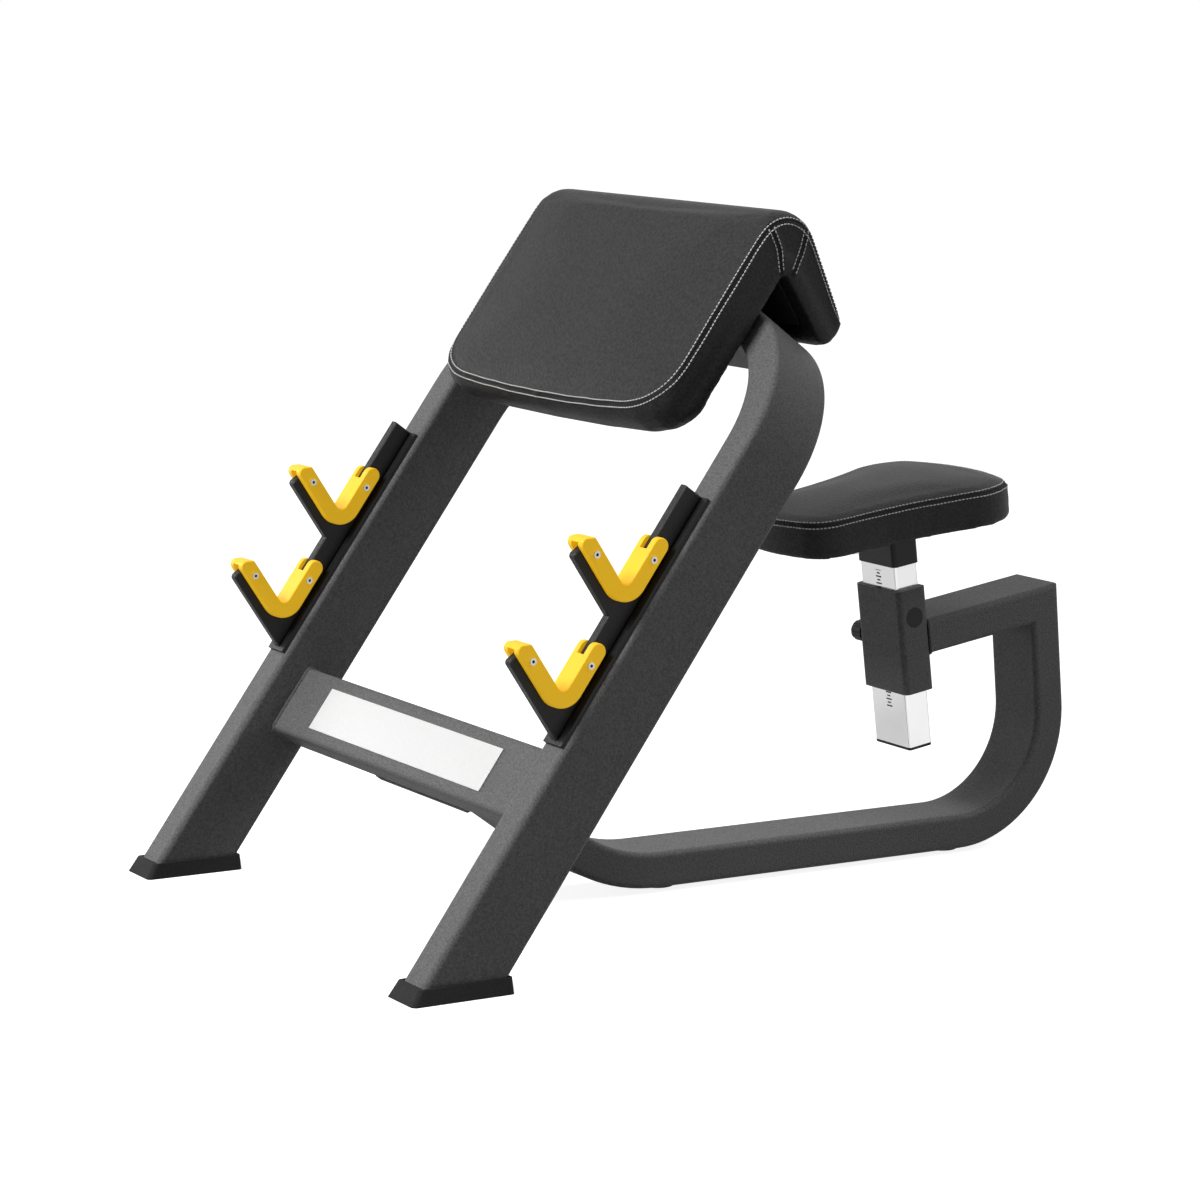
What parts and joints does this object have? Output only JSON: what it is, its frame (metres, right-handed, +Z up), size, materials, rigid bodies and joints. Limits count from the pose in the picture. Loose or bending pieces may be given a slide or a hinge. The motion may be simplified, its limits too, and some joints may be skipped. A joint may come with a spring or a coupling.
{
  "type": "preacher curl bench",
  "caption": "Preacher curl bench with a leaning hoop frame, a peaked padded arm rest, V-shaped bar cradles with yellow liners and a height-adjustable padded seat on a bent floor beam.",
  "frame": {"origin": "on the floor, midway between the front of the foot caps and the back of the rear bend, on the middle plane", "axes": "+Z up; +X to the sitter's left; +Y from the bar cradles towards the seat, along the floor beam"},
  "size_m": [0.776, 1.286, 0.9373],
  "materials": {
    "frame_paint": "matte dark grey powder coat with a fine grain",
    "bracket_paint": "satin black paint",
    "liner_yellow": "satin moulded plastic",
    "foot_rubber": "matte black rubber",
    "black_plastic": "satin moulded plastic",
    "cushion_cover": "black upholstery leatherette over foam",
    "plywood": "plywood stained black",
    "chrome": "polished chrome plate",
    "zinc_steel": "bright zinc plate",
    "plate_white": "bare white plate"
  },
  "bodies": {
    "frame": {"left_upright": "frame_paint", "right_upright": "frame_paint", "left_foot_cap": "foot_rubber", "right_foot_cap": "foot_rubber", "left_cradle_base": "bracket_paint", "right_cradle_base": "bracket_paint", "left_cradle_plate": "bracket_paint", "right_cradle_plate": "bracket_paint", "left_lower_cradle_liner": "liner_yellow", "left_upper_cradle_liner": "liner_yellow", "right_lower_cradle_liner": "liner_yellow", "right_upper_cradle_liner": "liner_yellow", "cradle_screws": "zinc_steel", "cradle_nuts": "zinc_steel", "cross_tube": "frame_paint", "label_plate": "plate_white", "beam_flange": "frame_paint", "flange_bolts": "zinc_steel", "base_beam": "frame_paint", "front_beam_foot": "foot_rubber", "rear_beam_foot": "foot_rubber", "beam_foot_screws": "zinc_steel", "seat_arm": "frame_paint", "seat_sleeve": "frame_paint", "sleeve_liner": "black_plastic", "left_pad_strap": "frame_paint", "right_pad_strap": "frame_paint", "pad_bolts": "zinc_steel", "front_pad_board": "plywood", "rear_pad_board": "plywood", "arm_pad": "cushion_cover", "clamp_boss": "frame_paint"},
    "seat_carriage": {"seat_post": "chrome", "post_end_cap": "black_plastic", "seat_collar": "bracket_paint", "seat_plate": "bracket_paint", "seat_bolts": "zinc_steel", "seat_board": "plywood", "seat_cushion": "cushion_cover"},
    "lock_pad": {"clamp_pad": "black_plastic"},
    "lock_knob": {"clamp_screw": "zinc_steel", "clamp_knob": "black_plastic"}
  },
  "joints": [
    {"name": "seat_height", "type": "slide", "parent": "frame", "child": "seat_carriage", "axis": [0, -0.1564, 0.9877], "range_m": [-0.03, 0.11]},
    {"name": "lock_advance", "type": "slide", "parent": "frame", "child": "lock_pad", "axis": [-1, 0, 0], "range_m": [0, 0.00263]},
    {"name": "knob_turn", "type": "hinge", "parent": "lock_pad", "child": "lock_knob", "pos_m": [-0.07, 0.36478, 0.31206], "axis": [-1, 0, 0], "range_deg": [0, 630]}
  ],
  "couplings": [
    {"joint": "knob_turn", "follows": "lock_advance", "rad_per_m": 4188.8}
  ]
}
